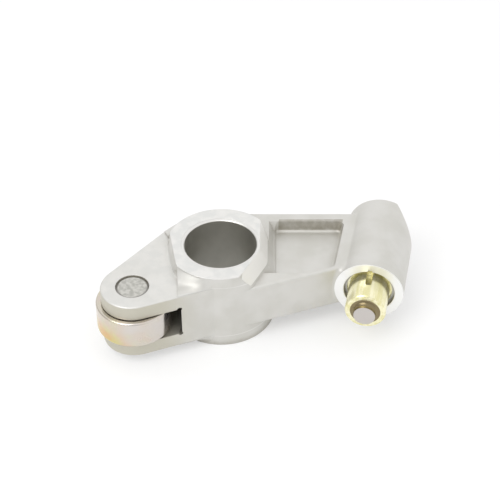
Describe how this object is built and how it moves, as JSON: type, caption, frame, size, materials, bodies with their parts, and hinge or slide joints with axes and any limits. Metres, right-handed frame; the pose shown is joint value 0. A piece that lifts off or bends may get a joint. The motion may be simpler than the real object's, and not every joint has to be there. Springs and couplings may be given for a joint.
{
  "type": "rocker arm",
  "caption": "Roller rocker arm with shaft hub, forked cam roller, pocketed arm and a spring-loaded hydraulic piston in a boss.",
  "frame": {"origin": "centre of the shaft bore at half its length", "axes": "+Z along the shaft bore, -Y the way the piston pushes, +X from the shaft to the piston boss"},
  "size_m": [0.1483, 0.1081, 0.044],
  "materials": {
    "cast_steel": "fine blasted casting",
    "bush_metal": "bored",
    "pin_steel": "ground",
    "roller_steel": "polished",
    "bronze": "bored",
    "plated_steel": "yellow passivated",
    "spring_steel": "drawn"
  },
  "bodies": {
    "arm": {"arm_body": "cast_steel", "shaft_bush": "bush_metal", "roller_pin": "pin_steel", "snap_ring": "spring_steel", "valve_seat": "pin_steel", "ball_cage": "pin_steel", "gallery_plug": "pin_steel", "piston_spring": "spring_steel", "ball_spring": "spring_steel"},
    "roller": {"cam_roller": "roller_steel", "roller_bush": "bronze"},
    "piston": {"brake_piston": "plated_steel"},
    "ball": {"check_ball": "roller_steel"}
  },
  "joints": [
    {"name": "roller_spin", "type": "hinge", "parent": "arm", "child": "roller", "pos_m": [-0.0374, -0.0325, 0], "axis": [0, 0, 1], "continuous": true},
    {"name": "piston_slide", "type": "slide", "parent": "arm", "child": "piston", "axis": [0, 1, 0], "range_m": [0, 0.003], "stiffness_N_per_m": 4000, "springref_m": -0.01, "deforming": ["piston_spring"]},
    {"name": "ball_lift", "type": "slide", "parent": "arm", "child": "ball", "axis": [0, -1, 0], "range_m": [0, 0.0008], "stiffness_N_per_m": 60, "springref_m": -0.002, "deforming": ["ball_spring"]}
  ]
}
